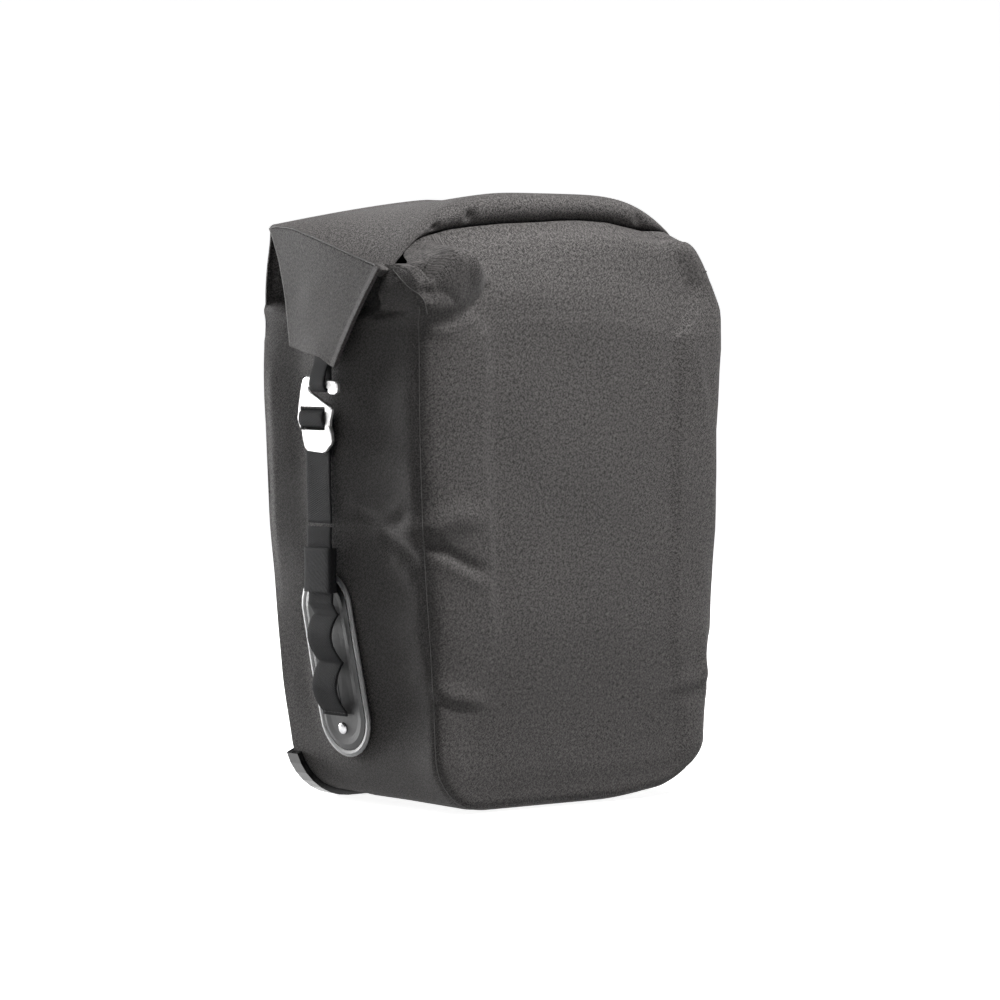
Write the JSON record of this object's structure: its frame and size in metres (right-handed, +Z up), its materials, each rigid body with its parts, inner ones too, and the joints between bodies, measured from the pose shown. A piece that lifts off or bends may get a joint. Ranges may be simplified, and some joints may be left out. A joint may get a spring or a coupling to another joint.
{
  "type": "bicycle pannier bag",
  "caption": "Roll-top bicycle pannier of coated fabric with hooked side straps, reflective ovals and rack hooks on its rear panel.",
  "frame": {"origin": "on the floor, at the middle of the bag's flat base", "axes": "+Z up, towards the rolled closure; +Y from the front panel to the rear panel and the bicycle rack; +X to the right seen from the front"},
  "size_m": [0.2666, 0.185, 0.373],
  "materials": {
    "bag_fabric": "coated woven canvas, matte with a slight sheen",
    "webbing": "ribbed woven webbing",
    "reflective_fabric": "grey retroreflective print",
    "hook_metal": "tumbled and polished",
    "black_moulding": "smooth moulded",
    "rack_hardware": "fine moulded texture",
    "board_plastic": "extruded sheet",
    "screw_steel": "plated"
  },
  "bodies": {
    "bag": {"front_panel": "bag_fabric", "gusset_left": "bag_fabric", "gusset_right": "bag_fabric", "base_panel": "bag_fabric", "rear_panel": "bag_fabric", "stiffener_board": "board_plastic", "oval_plate_left": "black_moulding", "oval_plate_right": "black_moulding", "reflective_ribbon_left": "reflective_fabric", "reflective_ribbon_right": "reflective_fabric", "rivet_left": "hook_metal", "rivet_right": "hook_metal", "strap_lower_left": "webbing", "strap_lower_right": "webbing", "edge_guard": "black_moulding", "guard_rivet_left": "screw_steel", "guard_rivet_right": "screw_steel", "top_rail": "rack_hardware", "lower_rail": "rack_hardware", "rail_screw_1": "screw_steel", "rail_screw_2": "screw_steel", "rail_screw_3": "screw_steel", "rail_screw_4": "screw_steel", "low_rail_screw_left": "screw_steel", "low_rail_screw_right": "screw_steel", "rack_hook_left": "rack_hardware", "rack_hook_right": "rack_hardware", "tube_insert_left": "board_plastic", "tube_insert_right": "board_plastic", "clamp_screw_left": "screw_steel", "clamp_screw_right": "screw_steel", "latch_pin_left": "screw_steel", "latch_pin_right": "screw_steel"},
    "roll_top": {"roll_closure": "bag_fabric", "closure_batten": "board_plastic", "roll_flap_left": "bag_fabric", "roll_flap_right": "bag_fabric", "closure_loop_left": "webbing", "closure_loop_right": "webbing"},
    "hook_left": {"strap_upper_left": "webbing", "g_hook_left": "hook_metal"},
    "hook_right": {"strap_upper_right": "webbing", "g_hook_right": "hook_metal"},
    "keeper_left": {"keeper_left": "webbing"},
    "keeper_right": {"keeper_right": "webbing"},
    "pull_handle": {"pull_handle": "webbing"},
    "latch_left": {"latch_left": "rack_hardware"},
    "latch_right": {"latch_right": "rack_hardware"},
    "anchor_slider": {"anchor_slider": "rack_hardware", "anchor_screw": "rack_hardware"},
    "anchor_hook": {"anchor_hook": "rack_hardware"}
  },
  "joints": [
    {"name": "roll_lift", "type": "hinge", "parent": "bag", "child": "roll_top", "pos_m": [0, 0.069, 0.3712], "axis": [-1, 0, 0], "range_deg": [0, 110], "deforming": ["closure_loop_left", "closure_loop_right"]},
    {"name": "hook_swing_left", "type": "hinge", "parent": "bag", "child": "hook_left", "pos_m": [-0.1267, 0.0139, 0.172], "axis": [0, -1, 0], "range_deg": [0, 150]},
    {"name": "hook_swing_right", "type": "hinge", "parent": "bag", "child": "hook_right", "pos_m": [0.1267, 0.0139, 0.172], "axis": [0, 1, 0], "range_deg": [0, 150]},
    {"name": "keeper_slide_left", "type": "slide", "parent": "bag", "child": "keeper_left", "axis": [0, 0, 1], "range_m": [-0.006, 0.01]},
    {"name": "keeper_slide_right", "type": "slide", "parent": "bag", "child": "keeper_right", "axis": [0, 0, 1], "range_m": [-0.006, 0.01]},
    {"name": "handle_pull", "type": "slide", "parent": "bag", "child": "pull_handle", "axis": [0, 0, 1], "range_m": [0, 0.0028], "stiffness_N_per_m": 300, "springref_m": -0.002},
    {"name": "latch_swing_left", "type": "hinge", "parent": "bag", "child": "latch_left", "pos_m": [-0.0403, 0.086, 0.3195], "axis": [-1, 0, 0], "range_deg": [0, 12.2]},
    {"name": "latch_swing_right", "type": "hinge", "parent": "bag", "child": "latch_right", "pos_m": [0.0403, 0.086, 0.3195], "axis": [-1, 0, 0], "range_deg": [0, 12.2]},
    {"name": "anchor_slide", "type": "slide", "parent": "bag", "child": "anchor_slider", "axis": [1, 0, 0], "range_m": [-0.035, 0.035]},
    {"name": "anchor_turn", "type": "hinge", "parent": "anchor_slider", "child": "anchor_hook", "pos_m": [0, 0.0868, 0.102], "axis": [0, 1, 0], "range_deg": [-90, 90]}
  ],
  "couplings": [
    {"joint": "latch_swing_left", "follows": "handle_pull", "rad_per_m": 75},
    {"joint": "latch_swing_right", "follows": "handle_pull", "rad_per_m": 75}
  ]
}
